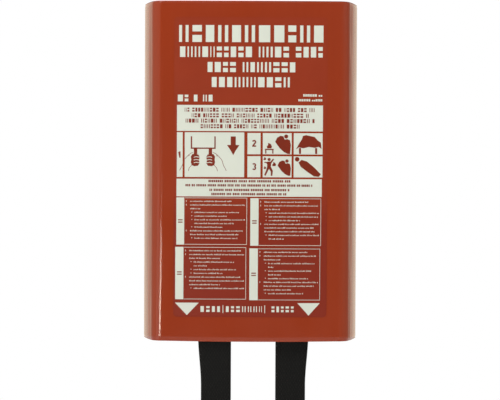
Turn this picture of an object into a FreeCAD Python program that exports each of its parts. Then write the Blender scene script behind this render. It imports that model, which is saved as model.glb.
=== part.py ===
import FreeCAD, Part
import math
import os

from FreeCAD import Vector

# Hard-case fire blanket for a wall: a plastic channel closed by a back plate and a
# top cap, open at the bottom, with a folded one-metre blanket and its two pull straps.
# Millimetres. +Z is up, the wall is the plane y = 0 and the front faces -Y. The origin
# lies on the wall plane, midway between the two keyholes that the case hangs from.

# Case
front_width = 145.0                # flat part of the front, between its rounded edges
case_height = 282.0
case_depth = 38.0
case_top = 40.0                    # the keyholes' centres lie this far below the top
wall = 2.0
side_draft = math.radians(16.0)    # the sides spread towards the wall
corner_radius = 10.5               # upright front edges
rear_radius = 3.0                  # upright rear edges
front_bow = 1.0                    # the front face stands out this much in its middle
flange_width = 12.0                # rear returns that lie on the wall

# Top cap
cap_gap = 0.15                     # between the cap and the channel that it plugs into
cap_plate = 2.5
cap_skirt = 14.0
cap_skirt_wall = 1.6

# Back plate
plate_thickness = 2.0
plate_side_gap = 1.2
plate_foot = 1.5                   # the plate stops this far above the mouth
rib_width = 2.0
rib_height = 1.5
rib_spacing = 30.0
rib_count = 5

# Keyholes, in a pocket that lies on the wall so that the screw heads stay sunk
keyhole_spacing = 100.0
keyhole_radius = 4.5
keyhole_slot_radius = 2.3
keyhole_slot_rise = 9.0
pocket_width = 132.0
pocket_low = -12.0
pocket_high = 20.0
pocket_wall = 2.0
pocket_floor = 1.8

# Rivets
rivet_radius = 1.6
rivet_hole_radius = 1.65
rivet_head_radius = 3.0
rivet_head = 1.2
rivet_clench_radius = 2.6
rivet_clench = 1.0
rivet_x = 81.5
flange_rivet_heights = (18.0, -101.0, -226.0)
cap_rivet_height = 33.0

# Instruction label
label_width = 127.0
label_top_margin = 13.4
label_bottom_margin = 20.2
label_thickness = 0.25
label_corner = 3.0

# Folded blanket
pack_width = 146.0
pack_rear = -5.9
pack_front = -34.6
pack_bottom_gap = 16.0             # the pack ends this far above the mouth
pack_top_gap = 2.0                 # and this far below the cap's skirt
pack_edge = 5.0

# Pull straps, sewn to the blanket's two lower corners
strap_width = 25.0
strap_thickness = 1.6
strap_length = 112.0               # below the mouth
strap_fold = 20.0                  # doubled and sewn end
strap_pivot_drop = 3.0             # where the strap bends, below the mouth
strap_gap = 0.3                    # between the sewn part and the hanging part
strap_sewn = 38.0                  # length sewn inside the pack
patch_size = 44.0
patch_thickness = 0.8
sewn_clearance = 0.2
straps = {
    "left": {"x": -28.0, "y": -31.8},
    "right": {"x": 34.0, "y": -28.0},
}

# Worked out from the values above
case_bottom = case_top - case_height
flat_half = front_width / 2
bow_radius = (flat_half**2 + front_bow**2) / (2 * front_bow)
bow_centre = Vector(0, bow_radius - case_depth, 0)
bow_reach = math.sqrt((bow_radius - corner_radius) ** 2 - flat_half**2)
front_corner = Vector(flat_half, bow_centre.y - bow_reach, 0)
side_normal = Vector(math.cos(side_draft), -math.sin(side_draft), 0)
side_run = -rear_radius - front_corner.y
spread = corner_radius - rear_radius + side_run * math.sin(side_draft)
rear_corner = Vector(flat_half + spread / math.cos(side_draft), -rear_radius, 0)
case_half = rear_corner.x + rear_radius
plate_rear = -wall
plate_face = plate_rear - plate_thickness
flange_grip = wall + plate_thickness
pack_bottom = case_bottom + pack_bottom_gap
pack_top = case_top - cap_skirt - pack_top_gap
strap_pivot = case_bottom - strap_pivot_drop


def box(x0, x1, y0, y1, z0, z1):
    """A box between two values along each axis."""
    return Part.makeBox(x1 - x0, y1 - y0, z1 - z0, Vector(x0, y0, z0))


def prism(wire, z0, z1):
    """A plan outline at z = 0, as a solid from z0 to z1."""
    face = Part.Face(wire)
    face.translate(Vector(0, 0, z0))
    return face.extrude(Vector(0, 0, z1 - z0))


def cut_all(shape, tools):
    """The shape with every tool taken away."""
    for tool in tools:
        shape = shape.cut(tool)
    return shape


def mirrored(point):
    """The point on the other side of the case's middle plane."""
    return Vector(-point.x, point.y, point.z)


def arc_point(centre, radius, start, end):
    """The point of an arc halfway between two unit directions from its centre."""
    return centre + (start + end).normalize() * radius


def case_outline(inset):
    """Plan outline of the case, moved inwards by inset: bowed front, spreading sides."""
    forwards = (front_corner - bow_centre).normalize()
    backwards = Vector(0, 1, 0)
    front_radius = corner_radius - inset
    back_radius = rear_radius - inset
    front_mid = Vector(0, inset - case_depth, 0)
    front_end = bow_centre + forwards * (bow_radius - inset)
    corner_mid = arc_point(front_corner, front_radius, forwards, side_normal)
    side_front = front_corner + side_normal * front_radius
    side_rear = rear_corner + side_normal * back_radius
    rear_mid = arc_point(rear_corner, back_radius, side_normal, backwards)
    rear_end = rear_corner + backwards * back_radius
    edges = [
        Part.Arc(mirrored(front_end), front_mid, front_end).toShape(),
        Part.Arc(front_end, corner_mid, side_front).toShape(),
        Part.makeLine(side_front, side_rear),
        Part.Arc(side_rear, rear_mid, rear_end).toShape(),
        Part.makeLine(rear_end, mirrored(rear_end)),
        Part.Arc(mirrored(rear_end), mirrored(rear_mid), mirrored(side_rear)).toShape(),
        Part.makeLine(mirrored(side_rear), mirrored(side_front)),
        Part.Arc(mirrored(side_front), mirrored(corner_mid), mirrored(front_end)).toShape(),
    ]
    return Part.Wire(edges)


def along_y(radius, length, x, y, z):
    """A cylinder that starts at y and runs towards -Y."""
    return Part.makeCylinder(radius, length, Vector(x, y, z), Vector(0, -1, 0))


def sunk_head(x, z, clearance):
    """The cone of a sunk rivet head in the rear face of a flange."""
    tip = rivet_radius + clearance
    rim = rivet_head_radius + clearance
    return Part.makeCone(rim, tip, rivet_head, Vector(x, 0, z), Vector(0, -1, 0))


def places(heights):
    """X and Z of the rivets at these heights, on both sides."""
    return [(side * rivet_x, z) for side in (-1, 1) for z in heights]


def rivet_holes(heights, rear, front):
    """Drillings for the rivets at these heights, between two depths."""
    return [along_y(rivet_hole_radius, rear - front, x, rear, z) for x, z in places(heights)]


def front_cover():
    """The channel: front, rounded edges, sides and the rear returns."""
    heights = flange_rivet_heights + (cap_rivet_height,)
    shell = prism(case_outline(0), case_bottom, case_top)
    shell = shell.cut(prism(case_outline(wall), case_bottom - 1, case_top + 1))
    half = case_half - flange_width
    window = box(-half, half, -wall - 0.5, 1, case_bottom - 1, case_top + 1)
    sinks = [sunk_head(x, z, 0.05) for x, z in places(heights)]
    return cut_all(shell, [window] + rivet_holes(heights, 0.5, -wall - 0.5) + sinks)


def top_cap():
    """The closure that plugs into the channel's top, with a skirt all round."""
    outer = wall + cap_gap
    rear = plate_face - cap_gap
    low = case_top - cap_skirt
    block = prism(case_outline(outer), low, case_top)
    block = block.cut(box(-case_half, case_half, rear, 1, low - 1, case_top + 1))
    hollow = prism(case_outline(outer + cap_skirt_wall), low - 1, case_top - cap_plate)
    hollow = hollow.cut(box(-case_half, case_half, rear - cap_skirt_wall, 1, low - 2, case_top))
    holes = rivet_holes((cap_rivet_height,), rear + 1, rear - cap_skirt_wall - 1)
    return cut_all(block, [hollow] + holes)


def keyhole(x):
    """An entry hole with a narrower slot above it."""
    depth = wall + plate_thickness + 2
    slot = box(x - keyhole_slot_radius, x + keyhole_slot_radius, 1 - depth, 1, 0, keyhole_slot_rise)
    entry = along_y(keyhole_radius, depth, x, 1, 0)
    end = along_y(keyhole_slot_radius, depth, x, 1, keyhole_slot_rise)
    return entry.fuse([slot, end])


def ribs():
    """Upright ribs that the blanket slides on, left out across the keyhole pocket."""
    first = -rib_spacing * (rib_count - 1) / 2
    spans = ((pack_bottom - 8, pocket_low), (pocket_high, case_top - cap_skirt - 3))
    strips = []
    for i in range(rib_count):
        x = first + i * rib_spacing
        for low, high in spans:
            strips.append(
                box(x - rib_width / 2, x + rib_width / 2, plate_face - rib_height, plate_face, low, high)
            )
    return strips


def back_plate():
    """The plate behind the blanket, with the keyhole pocket pressed out to the wall."""
    half = case_half - wall - plate_side_gap
    plate = box(-half, half, plate_face, plate_rear, case_bottom + plate_foot, case_top)
    reach = pocket_width / 2
    pocket = box(-reach, reach, plate_face, 0, pocket_low, pocket_high)
    inside = box(
        pocket_wall - reach,
        reach - pocket_wall,
        plate_face - 1,
        -pocket_floor,
        pocket_low + pocket_wall,
        pocket_high - pocket_wall,
    )
    body = plate.fuse([pocket] + ribs()).cut(inside)
    keyholes = [keyhole(side * keyhole_spacing / 2) for side in (-1, 1)]
    heights = flange_rivet_heights + (cap_rivet_height,)
    holes = rivet_holes(heights, plate_rear + 1, plate_face - 1)
    return cut_all(body, keyholes + holes).removeSplitter()


def rivet(x, z, grip):
    """A sunk rivet from the rear, through layers grip thick, clenched on the inside."""
    shank = along_y(rivet_radius, grip + rivet_clench, x, 0, z)
    clench = along_y(rivet_clench_radius, rivet_clench, x, -grip, z)
    return sunk_head(x, z, 0).fuse([shank, clench]).removeSplitter()


def rivets(heights, grip):
    """The rivets at these heights as a group of separate solids."""
    return Part.makeCompound([rivet(x, z, grip) for x, z in places(heights)])


def instruction_label():
    """The printed film on the front, which follows the front's bow."""
    low = case_bottom + label_bottom_margin
    high = case_top - label_top_margin
    rings = []
    for radius in (bow_radius, bow_radius + label_thickness):
        rings.append(Part.makeCylinder(radius, high - low, Vector(0, bow_centre.y, low)))
    film = rings[1].cut(rings[0])
    half = label_width / 2
    blank = box(-half, half, -case_depth - 2, -case_depth + 3, low, high)
    upright = [e for e in blank.Edges if abs(e.Vertexes[0].Y - e.Vertexes[-1].Y) > 1]
    return film.common(blank.makeFillet(label_corner, upright))


def sewn_pocket(place):
    """Room between the pack's layers for one strap's sewn part and its patch."""
    depth = strap_thickness / 2 + sewn_clearance
    half = patch_size / 2 + sewn_clearance
    return box(
        place["x"] - half,
        place["x"] + half,
        place["y"] - depth,
        place["y"] + depth + patch_thickness,
        pack_bottom - 1,
        pack_bottom + patch_size + sewn_clearance,
    )


def blanket_pack():
    """The folded blanket as one plain block with rounded edges."""
    half = pack_width / 2
    block = box(-half, half, pack_front, pack_rear, pack_bottom, pack_top)
    block = block.makeFillet(pack_edge, block.Edges)
    return cut_all(block, [sewn_pocket(place) for place in straps.values()])


def corner_patch(place):
    """The patch that backs a strap where it is sewn to the blanket's corner."""
    half = patch_size / 2
    face = place["y"] + strap_thickness / 2
    return box(
        place["x"] - half,
        place["x"] + half,
        face,
        face + patch_thickness,
        pack_bottom,
        pack_bottom + patch_size,
    )


def strap_anchor(place):
    """The sewn length of a strap, from inside the pack down to where the strap bends."""
    half = strap_width / 2
    depth = strap_thickness / 2
    low = strap_pivot + depth + strap_gap
    return box(
        place["x"] - half,
        place["x"] + half,
        place["y"] - depth,
        place["y"] + depth,
        low,
        pack_bottom + strap_sewn,
    )


def pull_strap(place):
    """The hanging length of a strap: rounded at its bend, doubled at its sewn end."""
    half = strap_width / 2
    depth = strap_thickness / 2
    x0 = place["x"] - half
    x1 = place["x"] + half
    y = place["y"]
    low = case_bottom - strap_length
    tape = box(x0, x1, y - depth, y + depth, low, strap_pivot)
    bend = Part.makeCylinder(depth, strap_width, Vector(x0, y, strap_pivot), Vector(1, 0, 0))
    doubled = box(x0, x1, y - strap_thickness, y + strap_thickness, low, low + strap_fold)
    upright = [e for e in doubled.Edges if abs(e.Vertexes[0].X - e.Vertexes[-1].X) > 1]
    doubled = doubled.makeFillet(strap_thickness * 0.45, upright)
    return tape.fuse([bend, doubled]).removeSplitter()


def build():
    """Every node and its shape."""
    nodes = {
        "front_cover": front_cover(),
        "top_cap": top_cap(),
        "back_plate": back_plate(),
        "flange_rivets": rivets(flange_rivet_heights, flange_grip),
        "cap_rivets": rivets((cap_rivet_height,), flange_grip + cap_gap + cap_skirt_wall),
        "instruction_label": instruction_label(),
        "blanket_pack": blanket_pack(),
    }
    for side, place in straps.items():
        nodes[f"corner_patch_{side}"] = corner_patch(place)
        nodes[f"strap_anchor_{side}"] = strap_anchor(place)
        nodes[f"pull_strap_{side}"] = pull_strap(place)
    return nodes


os.makedirs("parts", exist_ok=True)
for name, shape in build().items():
    shape.exportStep(f"parts/{name}.step")
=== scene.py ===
import math
import random

import bmesh
import bpy
import numpy as np
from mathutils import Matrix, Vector, noise


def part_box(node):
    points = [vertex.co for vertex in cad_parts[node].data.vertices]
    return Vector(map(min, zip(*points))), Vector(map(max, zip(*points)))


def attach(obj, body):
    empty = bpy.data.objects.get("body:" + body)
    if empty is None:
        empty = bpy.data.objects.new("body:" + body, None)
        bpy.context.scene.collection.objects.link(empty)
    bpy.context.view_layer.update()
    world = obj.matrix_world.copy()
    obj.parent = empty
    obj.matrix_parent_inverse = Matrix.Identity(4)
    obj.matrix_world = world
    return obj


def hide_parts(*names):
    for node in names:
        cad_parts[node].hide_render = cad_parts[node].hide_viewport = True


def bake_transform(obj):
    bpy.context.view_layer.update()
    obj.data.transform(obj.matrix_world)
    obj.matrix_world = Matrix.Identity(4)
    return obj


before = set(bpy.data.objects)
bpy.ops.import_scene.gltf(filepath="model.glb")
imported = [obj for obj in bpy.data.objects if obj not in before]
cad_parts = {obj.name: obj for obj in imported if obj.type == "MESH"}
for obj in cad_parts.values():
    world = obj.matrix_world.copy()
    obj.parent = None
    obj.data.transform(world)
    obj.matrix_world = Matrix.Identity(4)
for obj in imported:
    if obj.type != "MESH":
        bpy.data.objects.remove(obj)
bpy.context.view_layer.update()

# Looks of a hard-case fire blanket that hangs on a wall: a moulded channel with a printed
# film on its front, a back plate, a top cap, rivets, a folded glass-cloth blanket and its
# two pull straps. Metres, +Z up, the wall is the plane y = 0 and the front faces -Y.

MM = 0.001
SAME_POINT = 0.001 * MM          # points closer than this are one

# Plan of the case: the CAD model's sizes, and small shapes that a moulding has
FRONT_WIDTH = 145 * MM
CASE_DEPTH = 38 * MM
WALL = 2 * MM
SIDE_DRAFT = math.radians(16.0)
CORNER_RADIUS = 10.5 * MM
REAR_RADIUS = 3 * MM
FRONT_BOW = 1 * MM
SIDE_BOW = 0.7 * MM              # the moulded sides are very slightly full
FLANGE_WIDTH = 12 * MM
EDGE_BREAK = 0.35 * MM           # rounding of the cut edges
LOWER_SAG = 0.5 * MM             # the front's lower edge hangs lower in its middle

# Rivets, where the CAD model has them
RIVET_X = 81.5 * MM
RIVET_HEIGHTS = (33 * MM, 18 * MM, -101 * MM, -226 * MM)
RIVET_HOLE_RADIUS = 1.68 * MM
RIVET_SINK_RADIUS = 3.1 * MM
RIVET_SINK_DEPTH = 1.25 * MM

# Printed film
FILM_THICKNESS = 0.25 * MM
FILM_CORNER = 3 * MM
PRINT_THICKNESS = 0.04 * MM
INK_SINK = 0.01 * MM             # how far print reaches into what it lies on
FILM_SINK = 0.02 * MM

# Folded blanket
CLOTH_SIDE = 0.99                # one metre less its hems
CLOTH_THICKNESS = 0.43 * MM
HEM_THICKNESS = 0.80 * MM
HEM_WIDTH = 8 * MM
PANELS = 7                       # folded like a concertina across
PASSES = 4                       # then up and down the case
LAYER_PITCH = 1.02 * MM

# Straps
STRAP_WIDTH = 25 * MM
STRAP_THICKNESS = 1.5 * MM
STRAP_DOUBLED = 20 * MM
PATCH_THICKNESS = 0.7 * MM
STRAP_STEP = 1.4 * MM            # between the sections along a strap
WEFT_PITCH = 1.9 * MM
FOLD_GAP = 0.03 * MM             # between the two layers of the doubled end

# Studio
CAMERA_PLACE = (-0.0003, -CASE_DEPTH - 1.3, -0.1062)
CAMERA_TURN = (math.radians(90 - 0.82), math.radians(-0.25), 0.0)
AMBIENT = 0.33
FLOOR_DROP = 0.9                 # below the straps' ends
FLOOR_RADIUS = 6.0

COVER_LOW, COVER_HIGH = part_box("front_cover")
FILM_LOW, FILM_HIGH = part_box("instruction_label")
PACK_LOW, PACK_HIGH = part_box("blanket_pack")

bow_radius = (FRONT_WIDTH**2 / 4 + FRONT_BOW**2) / (2 * FRONT_BOW)
bow_centre = np.array([0.0, bow_radius - CASE_DEPTH])
front_corner = np.array([
    FRONT_WIDTH / 2,
    bow_centre[1] - math.sqrt((bow_radius - CORNER_RADIUS) ** 2 - FRONT_WIDTH**2 / 4),
])
corner_spread = CORNER_RADIUS - REAR_RADIUS
corner_spread += (-REAR_RADIUS - front_corner[1]) * math.sin(SIDE_DRAFT)
rear_corner = np.array([FRONT_WIDTH / 2 + corner_spread / math.cos(SIDE_DRAFT), -REAR_RADIUS])
flange_edge = rear_corner[0] + REAR_RADIUS - FLANGE_WIDTH


# ---------------------------------------------------------------- materials

def add_node(tree, kind, values=None, **settings):
    """A new node with its settings, and with values on its unlinked inputs."""
    made = tree.nodes.new(kind)
    for name, value in settings.items():
        setattr(made, name, value)
    for socket, value in (values or {}).items():
        made.inputs[socket].default_value = value
    return made


class Shader:
    """A material under construction: short ways to add and join its nodes."""

    def __init__(self, name, **settings):
        self.material = bpy.data.materials.new(name)
        self.material.use_nodes = True
        self.tree = self.material.node_tree
        self.surface = self.tree.nodes["Principled BSDF"]
        for socket, value in settings.items():
            self.surface.inputs[socket.replace("_", " ")].default_value = value
        self.place = self.node("ShaderNodeTexCoord").outputs["Object"]

    def node(self, kind, values=None, **settings):
        return add_node(self.tree, kind, values, **settings)

    def join(self, source, target):
        self.tree.links.new(source, target)

    def stretched(self, scale, place=None):
        """The coordinates multiplied by three factors."""
        mapping = self.node("ShaderNodeMapping", {"Scale": scale})
        self.join(place or self.place, mapping.inputs["Vector"])
        return mapping.outputs["Vector"]

    def bent(self, place, scale, reach):
        """The coordinates pushed about by a noise."""
        push = self.node("ShaderNodeTexNoise", {"Scale": scale})
        self.join(place, push.inputs["Vector"])
        moved = self.node("ShaderNodeVectorMath", {1: (reach, reach, reach)},
                          operation="MULTIPLY_ADD")
        self.join(push.outputs["Color"], moved.inputs[0])
        self.join(place, moved.inputs[2])
        return moved.outputs[0]

    def noise(self, scale, detail=3.0, place=None, stretch=None):
        """A noise's value, in coordinates that may be stretched."""
        made = self.node("ShaderNodeTexNoise", {"Scale": scale, "Detail": detail})
        coordinates = place or self.place
        if stretch:
            coordinates = self.stretched(stretch, coordinates)
        self.join(coordinates, made.inputs["Vector"])
        return made.outputs["Fac"]

    def span(self, value, low, high, start=0.3, end=0.7):
        """Maps a value's middle range to low..high."""
        limits = {"From Min": start, "From Max": end, "To Min": low, "To Max": high}
        made = self.node("ShaderNodeMapRange", limits)
        self.join(value, made.inputs["Value"])
        return made.outputs["Result"]

    def math(self, operation, first, second=0.0):
        """A sum, product or the like of numbers or sockets."""
        made = self.node("ShaderNodeMath", operation=operation)
        for socket, value in zip(made.inputs, (first, second)):
            if isinstance(value, (int, float)):
                socket.default_value = value
            else:
                self.join(value, socket)
        return made.outputs[0]

    def mixed(self, share, first, second):
        """A colour between two, each a tuple or a socket."""
        made = self.node("ShaderNodeMix", data_type="RGBA")
        self.join(share, made.inputs[0])
        for socket, value in ((made.inputs[6], first), (made.inputs[7], second)):
            if isinstance(value, tuple):
                socket.default_value = (*value, 1.0)
            else:
                self.join(value, socket)
        return made.outputs[2]

    def colour(self, source):
        self.join(source, self.surface.inputs["Base Color"])

    def rough(self, source):
        self.join(source, self.surface.inputs["Roughness"])

    def bump(self, height, strength, distance):
        """Adds a height on top of any earlier one."""
        made = self.node("ShaderNodeBump", {"Strength": strength, "Distance": distance})
        self.join(height, made.inputs["Height"])
        before = self.surface.inputs["Normal"]
        if before.is_linked:
            self.join(before.links[0].from_socket, made.inputs["Normal"])
        self.join(made.outputs["Normal"], before)


def moulded_plastic(name, light, dark, worn, roughness):
    """Pigmented plastic: slight streaks along Z, fine skin, paler rubbed edges."""
    shader = Shader(name, IOR=1.5)
    clouds = shader.noise(9.0, 2.0)
    streaks = shader.noise(260.0, 3.0, stretch=(1.0, 1.0, 0.02))
    tone = shader.math("ADD", shader.math("MULTIPLY", clouds, 0.7),
                       shader.math("MULTIPLY", streaks, 0.3))
    body = shader.mixed(shader.span(tone, 0.0, 1.0, 0.35, 0.65), light, dark)
    rubbed = shader.node("ShaderNodeAttribute", attribute_name="rubbed").outputs["Fac"]
    patchy = shader.math("MULTIPLY", rubbed, shader.span(shader.noise(420.0), 0.1, 1.0))
    shader.colour(shader.mixed(patchy, body, worn))
    smears = shader.noise(38.0, 4.0, stretch=(1.0, 1.0, 0.5))
    shader.rough(shader.span(smears, roughness - 0.04, roughness + 0.06))
    shader.bump(shader.noise(1500.0, 2.0), 0.12, 0.00004)
    shader.bump(shader.noise(120.0, 1.0, stretch=(1.0, 1.0, 0.25)), 0.12, 0.0002)
    return shader.material


def rivet_aluminium():
    """Drawn aluminium with a fine dull skin."""
    shader = Shader("rivet_aluminium", Metallic=1.0)
    shader.colour(shader.mixed(shader.noise(700.0), (0.62, 0.62, 0.64), (0.78, 0.78, 0.8)))
    shader.rough(shader.span(shader.noise(900.0), 0.28, 0.45))
    shader.bump(shader.noise(2600.0, 3.0), 0.2, 0.00005)
    return shader.material


def printed_film(name, first, second, roughness, deeper=None):
    """Smooth ink on film, with a faint mottle and perhaps a deeper shade low on the case."""
    shader = Shader(name, IOR=1.48)
    ink = shader.mixed(shader.span(shader.noise(60.0, 5.0), 0.0, 1.0), first, second)
    if deeper:
        split = shader.node("ShaderNodeSeparateXYZ")
        shader.join(shader.place, split.inputs["Vector"])
        low = shader.span(split.outputs["Z"], 1.0, 0.0, -145 * MM, -117 * MM)
        ink = shader.mixed(low, ink, deeper)
    shader.colour(ink)
    shader.rough(shader.span(shader.noise(70.0, 1.0), roughness - 0.01, roughness + 0.01))
    shader.bump(shader.noise(900.0, 2.0), 0.05, 0.00002)
    return shader.material


def woven(name, light, dark, threads, roughness, sheen, depth, gloss=0.5, uneven=0.0):
    """Plain weave from the UV map, which is in metres: threads per metre both ways.

    uneven adds thick yarns, handled patches and creases.
    """
    shader = Shader(name, IOR=1.4, Roughness=roughness, Sheen_Weight=sheen,
                    Sheen_Roughness=0.5, Specular_IOR_Level=gloss)
    flat = shader.node("ShaderNodeTexCoord").outputs["UV"]
    split = shader.node("ShaderNodeSeparateXYZ")
    shader.join(flat, split.inputs["Vector"])
    sines = []
    for axis, count in zip(("X", "Y"), threads):
        turned = shader.math("MULTIPLY", split.outputs[axis], math.pi * count)
        sines.append(shader.math("SINE", turned))
    crossed = shader.math("MULTIPLY", sines[0], sines[1])
    yarns = shader.math("MULTIPLY", shader.math("ABSOLUTE", sines[0]),
                        shader.math("ABSOLUTE", sines[1]))
    height = shader.math("ADD", shader.math("MULTIPLY", crossed, 0.5),
                         shader.math("MULTIPLY", yarns, 0.5))
    fuzz = shader.noise(2.0 * max(threads), 3.0, place=flat)
    height = shader.math("ADD", height, shader.math("MULTIPLY", fuzz, 0.25))
    # Painted shade: the cloth is coloured darker where the weave is low, between the yarns.
    cloth = shader.mixed(shader.span(height, 0.0, 1.0, -0.1, 0.8), dark, light)
    if uneven:
        thick = shader.math("ADD", shader.noise(1.0, 3.0, place=flat, stretch=(430.0, 14.0, 1.0)),
                            shader.noise(1.0, 3.0, place=flat, stretch=(14.0, 430.0, 1.0)))
        cloth = shader.mixed(shader.span(thick, 0.0, uneven, 0.85, 1.2), cloth, dark)
        handled = shader.span(shader.noise(11.0, 5.0), 0.0, 0.5 * uneven)
        cloth = shader.mixed(handled, cloth, dark)
        cells = shader.node("ShaderNodeTexVoronoi", {"Scale": 24.0}, feature="DISTANCE_TO_EDGE")
        shader.join(shader.bent(shader.stretched((1.0, 1.0, 0.55)), 30.0, 0.022),
                    cells.inputs["Vector"])
        shader.bump(shader.span(cells.outputs["Distance"], 0.0, 1.0, 0.0, 0.11), 0.9, 0.0013)
        shader.bump(shader.noise(55.0, 4.0), 0.5, 0.0006)
    shader.colour(cloth)
    shader.bump(height, 0.6, depth)
    return shader.material


def twisted_thread():
    """Sewing thread with its twist."""
    shader = Shader("twisted_thread", Roughness=0.75, Sheen_Weight=0.3)
    wave = shader.node("ShaderNodeTexWave", {"Scale": 900.0}, bands_direction="DIAGONAL")
    shader.join(shader.place, wave.inputs["Vector"])
    twist = wave.outputs["Fac"]
    # Painted shade: the grooves of the twist are coloured darker than its ridges.
    shader.colour(shader.mixed(twist, (0.5, 0.48, 0.42), (0.8, 0.78, 0.7)))
    shader.bump(twist, 0.6, 0.0001)
    return shader.material


CASE_RED = moulded_plastic("case_plastic", (0.318, 0.0390, 0.0100), (0.298, 0.0355, 0.0090),
                           (0.42, 0.095, 0.050), 0.16)
PLATE_RED = moulded_plastic("plate_plastic", (0.270, 0.0330, 0.0095), (0.245, 0.0290, 0.0085),
                            (0.38, 0.085, 0.045), 0.40)
RIVET_METAL = rivet_aluminium()
FILM_RED = printed_film("film_red_ink", (0.305, 0.0365, 0.0112), (0.290, 0.0340, 0.0104), 0.26,
                        deeper=(0.245, 0.0235, 0.0088))
CREAM_INK = printed_film("cream_ink", (0.710, 0.745, 0.650), (0.690, 0.725, 0.630), 0.34)
RED_INK = printed_film("red_ink", (0.212, 0.0200, 0.0040), (0.196, 0.0180, 0.0035), 0.34)
GLASS_CLOTH = woven("glass_cloth_weave", (0.86, 0.845, 0.785), (0.50, 0.485, 0.43),
                    (1250.0, 1250.0), 0.6, 0.25, 0.00012, uneven=0.45)
WEBBING = woven("webbing_weave", (0.0066, 0.0066, 0.0063), (0.0022, 0.0022, 0.0021),
                (900.0, 520.0), 0.55, 0.0, 0.00022, 0.25)
THREAD = twisted_thread()


# ---------------------------------------------------------------- helpers

def add_object(name, data):
    made = bpy.data.objects.new(name, data)
    bpy.context.scene.collection.objects.link(made)
    return made


def shade_smooth(mesh, sharp_angle=None):
    """Smooth shading, except where faces meet at more than an angle in degrees."""
    mesh.polygons.foreach_set("use_smooth", [True] * len(mesh.polygons))
    if sharp_angle:
        mesh.set_sharp_from_angle(angle=math.radians(sharp_angle))


def make_object(name, vertices, faces, material, sharp_angle=None):
    """A smooth-shaded mesh object."""
    mesh = bpy.data.meshes.new(name)
    mesh.from_pydata([tuple(map(float, v)) for v in vertices], [], faces)
    mesh.materials.append(material)
    shade_smooth(mesh, sharp_angle)
    return add_object(name, mesh)


def ring_faces(rings, around, base=0):
    """Quads that join rings of points, each ring a closed loop."""
    faces = []
    for r in range(rings - 1):
        for k in range(around):
            a = base + r * around + k
            b = base + r * around + (k + 1) % around
            faces.append((a, b, b + around, a + around))
    return faces


def end_faces(rings, around, base=0):
    """The two flat ends of a tube of rings."""
    last = base + (rings - 1) * around
    return [tuple(base + k for k in range(around)),
            tuple(last + k for k in reversed(range(around)))]


def turn_faces_out(mesh, merge=False):
    """Makes every closed shell's normals point out, with double points merged or not."""
    work = bmesh.new()
    work.from_mesh(mesh)
    if merge:
        bmesh.ops.remove_doubles(work, verts=work.verts, dist=SAME_POINT)
    bmesh.ops.recalc_face_normals(work, faces=work.faces)
    work.to_mesh(mesh)
    work.free()


def apply_modifiers(obj):
    """Replaces an object's mesh with what its modifiers make of it."""
    graph = bpy.context.evaluated_depsgraph_get()
    done = bpy.data.meshes.new_from_object(obj.evaluated_get(graph))
    obj.modifiers.clear()
    obj.data = done


def set_uv(obj, per_vertex):
    """A UV map from one pair of numbers for each vertex."""
    layer = obj.data.uv_layers.new(name="flat")
    loops = np.zeros(len(obj.data.loops), np.int32)
    obj.data.loops.foreach_get("vertex_index", loops)
    layer.data.foreach_set("uv", np.asarray(per_vertex, np.float32)[loops].ravel())


def smooth_step(value):
    """Eases from 0 to 1 as value does."""
    value = np.clip(value, 0.0, 1.0)
    return value * value * (3 - 2 * value)


def waves(x, y, z):
    """A smooth random value at a place, between about -1 and 1."""
    return noise.noise(Vector((x, y, z)))


def front_ripple(x, z):
    """How far the front surface stands off its true bow: slight waves of a moulding."""
    return 0.07 * MM * waves(x * 14.0, z * 9.0, 3.1)


def front_surface(x, z, raised):
    """Y of the front at x, raised above the case's own surface."""
    reach = bow_radius + raised
    return bow_centre[1] - math.sqrt(reach**2 - x * x) - front_ripple(x, z)


# ---------------------------------------------------------------- case

def arc(centre, radius, start, end, count):
    """Points along an arc between two angles in degrees, its ends included."""
    angles = np.radians(np.linspace(start, end, count))
    return np.column_stack([centre[0] + radius * np.cos(angles),
                            centre[1] + radius * np.sin(angles)])


def case_path(inset):
    """Plan outline from one rear return round the front to the other, moved inwards."""
    side = -math.degrees(SIDE_DRAFT)
    toward_front = front_corner - bow_centre
    front = math.degrees(math.atan2(toward_front[1], toward_front[0]))
    flange = np.column_stack([np.linspace(flange_edge + EDGE_BREAK, rear_corner[0], 12)[:-1],
                              np.full(11, -inset)])
    rear = arc(rear_corner, REAR_RADIUS - inset, 90, side, 10)
    corner = arc(front_corner, CORNER_RADIUS - inset, side, front, 18)
    shares = np.linspace(0, 1, 14)[1:-1, None]
    full = 4 * SIDE_BOW * shares * (1 - shares) * (1 - inset / WALL)
    flank = rear[-1] * (1 - shares) + corner[0] * shares
    flank = flank + full * (math.cos(SIDE_DRAFT), -math.sin(SIDE_DRAFT))
    bow = arc(bow_centre, bow_radius - inset, front, -90, 34)[1:]
    half = np.vstack([flange, rear, flank, corner, bow])
    return np.vstack([half, (half * (-1, 1))[-2::-1]])


def case_ring(inset):
    """The wall's whole cross-section as a loop: outside, rounded end, inside, end."""
    outside = case_path(inset)
    inside = case_path(WALL - inset)[::-1]
    turns = np.radians((45, 90))
    half = WALL / 2 - inset
    near = EDGE_BREAK * (1 - np.sin(turns))
    level = half - EDGE_BREAK * (1 - np.cos(turns))
    x = np.concatenate([flange_edge + near, flange_edge + near[::-1]])
    y = np.concatenate([-WALL / 2 - level, -WALL / 2 + level[::-1]])
    right_end = np.column_stack([x, y])
    left_end = (right_end * (-1, 1))[::-1]
    return np.vstack([outside, left_end, inside, right_end])


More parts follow.
